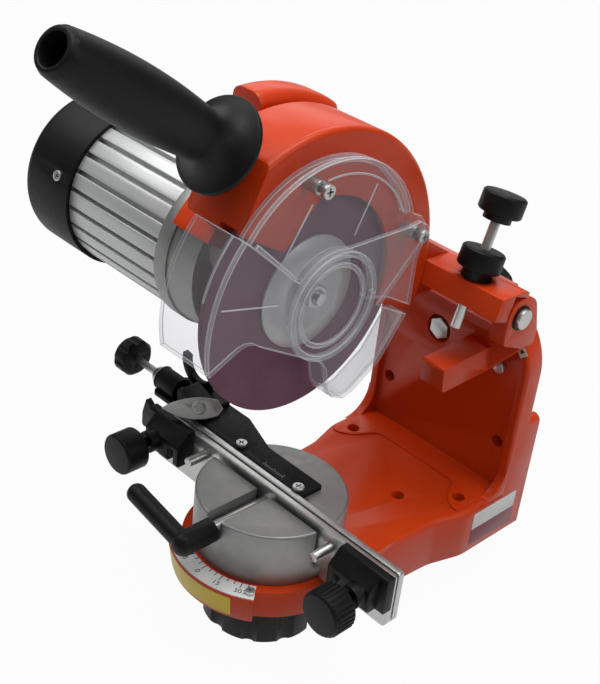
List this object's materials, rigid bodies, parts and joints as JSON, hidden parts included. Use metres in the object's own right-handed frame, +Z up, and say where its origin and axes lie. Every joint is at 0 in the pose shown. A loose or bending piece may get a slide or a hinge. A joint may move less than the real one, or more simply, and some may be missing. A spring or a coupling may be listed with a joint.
{
  "type": "saw chain grinder",
  "caption": "Bench saw-chain grinder: finned motor with thin wheel under a clear guard on a tilting, swinging arm over a turning chain vise with stop.",
  "frame": {"origin": "midway between the two rear bench bolt holes, on the bench plane under the bed", "axes": "+X to the operator's right along the wheel's axis, +Y to the rear, +Z up along the bench bolts"},
  "size_m": [0.297, 0.3221, 0.3789],
  "materials": {
    "orange_paint": "gloss enamel",
    "black_plastic": "satin",
    "zinc_steel": "zinc plated",
    "cast_grey": "cast",
    "white_plate": "printed",
    "black_steel": "satin",
    "clear_plastic": "clear polycarbonate",
    "switch_plastic": "gloss",
    "fin_aluminium": "extruded",
    "lamination_steel": "stacked sheet",
    "flange_aluminium": "turned",
    "abrasive": "vitrified grit"
  },
  "bodies": {
    "base": {"base_casting": "orange_paint", "angle_scale": "white_plate", "scale_screws": "zinc_steel", "lock_washer": "zinc_steel"},
    "vise": {"vise_turret": "cast_grey", "pivot_stud": "zinc_steel", "fixed_rail": "zinc_steel", "guide_bolts": "zinc_steel", "stop_plate": "black_steel", "stop_plate_screws": "zinc_steel"},
    "vise_lock": {"vise_lock_knob": "black_plastic"},
    "moving_jaw": {"moving_rail": "zinc_steel", "right_rail_block": "black_plastic", "left_rail_block": "black_plastic", "clamp_rod": "zinc_steel"},
    "right_knob": {"right_block_knob": "black_plastic"},
    "left_knob": {"left_block_knob": "black_plastic"},
    "clamp": {"clamp_lever": "black_plastic"},
    "stop_slide": {"stop_carriage": "black_steel", "pawl_pin": "zinc_steel"},
    "stop_finger": {"stop_pawl": "zinc_steel"},
    "stop_adjuster": {"stop_screw": "zinc_steel", "stop_knob": "black_plastic"},
    "tilt": {"tilt_bracket": "orange_paint", "tilt_bolt": "zinc_steel", "hinge_pin": "zinc_steel", "return_spring": "zinc_steel"},
    "tilt_lock": {"tilt_lock_knob": "black_plastic"},
    "head": {"wheel_housing": "orange_paint", "wheel_cover": "orange_paint", "clear_guard": "clear_plastic", "guard_spacers": "zinc_steel", "guard_screws": "zinc_steel", "switch_bezel": "black_plastic", "cable_gland": "black_plastic", "motor_front_ring": "cast_grey", "motor_body": "fin_aluminium", "rear_shield": "cast_grey", "motor_end_cap": "black_plastic", "cap_screws": "zinc_steel", "stator": "lamination_steel", "front_bearing": "zinc_steel", "rear_bearing": "zinc_steel", "handle": "black_plastic", "handle_stud": "zinc_steel"},
    "rocker": {"rocker_switch": "switch_plastic"},
    "rotor": {"motor_shaft": "zinc_steel", "rotor_core": "lamination_steel", "cooling_fan": "black_plastic", "inner_flange": "flange_aluminium", "grinding_wheel": "abrasive", "outer_flange": "flange_aluminium", "arbor_nut": "zinc_steel"},
    "depth_slide": {"depth_rod": "zinc_steel"},
    "depth_turn": {"depth_knob": "black_plastic"},
    "depth_lock": {"depth_lock_nut": "black_plastic"}
  },
  "joints": [
    {"name": "vise_turn", "type": "hinge", "parent": "base", "child": "vise", "pos_m": [0, -0.1225, 0.05], "axis": [0, 0, 1], "range_deg": [-35, 35]},
    {"name": "vise_lock_turn", "type": "hinge", "parent": "vise", "child": "vise_lock", "pos_m": [0, -0.1225, 0], "axis": [0, 0, 1], "range_deg": [-270, 0]},
    {"name": "clamp_lever_turn", "type": "hinge", "parent": "vise", "child": "clamp", "pos_m": [0, -0.1725, 0.061], "axis": [0, 1, 0], "range_deg": [-8, 42]},
    {"name": "jaw_slide", "type": "slide", "parent": "vise", "child": "moving_jaw", "axis": [0, 1, 0], "range_m": [-0.0012, 0]},
    {"name": "right_knob_turn", "type": "hinge", "parent": "moving_jaw", "child": "right_knob", "pos_m": [0.0875, -0.1535, 0.061], "axis": [0, 1, 0], "range_deg": [-180, 180]},
    {"name": "left_knob_turn", "type": "hinge", "parent": "moving_jaw", "child": "left_knob", "pos_m": [-0.0875, -0.1535, 0.061], "axis": [0, 1, 0], "range_deg": [-180, 180]},
    {"name": "stop_knob_turn", "type": "hinge", "parent": "vise", "child": "stop_adjuster", "pos_m": [-0.146, -0.1085, 0.0775], "axis": [1, 0, 0], "range_deg": [-1120, 1120]},
    {"name": "stop_travel", "type": "slide", "parent": "vise", "child": "stop_slide", "axis": [1, 0, 0], "range_m": [-0.0038, 0.0038]},
    {"name": "finger_lift", "type": "hinge", "parent": "stop_slide", "child": "stop_finger", "pos_m": [-0.0755, -0.116, 0.0806], "axis": [0.4997, -0.5496, 0.6695], "range_deg": [-45, 0]},
    {"name": "head_tilt", "type": "hinge", "parent": "base", "child": "tilt", "pos_m": [0, 0.0245, 0.133], "axis": [0, 1, 0], "range_deg": [0, 30]},
    {"name": "tilt_lock_turn", "type": "hinge", "parent": "tilt", "child": "tilt_lock", "pos_m": [0, 0.0425, 0.133], "axis": [0, 1, 0], "range_deg": [-270, 0]},
    {"name": "head_swing", "type": "hinge", "parent": "tilt", "child": "head", "pos_m": [0, 0.0045, 0.1725], "axis": [1, 0, 0], "range_deg": [0, 24], "stiffness_Nm_per_rad": 8, "springref_deg": -80.21},
    {"name": "rocker_flip", "type": "hinge", "parent": "head", "child": "rocker", "pos_m": [-0.051, -0.06953, 0.26631], "axis": [1, 0, 0], "range_deg": [0, 8]},
    {"name": "spindle_spin", "type": "hinge", "parent": "head", "child": "rotor", "pos_m": [0, -0.114, 0.1986], "axis": [1, 0, 0], "continuous": true},
    {"name": "depth_knob_turn", "type": "hinge", "parent": "depth_slide", "child": "depth_turn", "pos_m": [0.033, 0.0052, 0.23322], "axis": [0, 0.3074, 0.9516], "range_deg": [-3200, 2912]},
    {"name": "depth_travel", "type": "slide", "parent": "head", "child": "depth_slide", "axis": [0, 0.3074, 0.9516], "range_m": [-0.0111, 0.0101]},
    {"name": "depth_lock_turn", "type": "hinge", "parent": "head", "child": "depth_lock", "pos_m": [0.033, -0.00525, 0.20087], "axis": [0, 0.3074, 0.9516], "range_deg": [-180, 180]}
  ],
  "couplings": [
    {"joint": "clamp_lever_turn", "follows": "jaw_slide", "rad_per_m": -443.61},
    {"joint": "stop_knob_turn", "follows": "stop_travel", "rad_per_m": 5026.5},
    {"joint": "depth_knob_turn", "follows": "depth_travel", "rad_per_m": 5026.5}
  ]
}
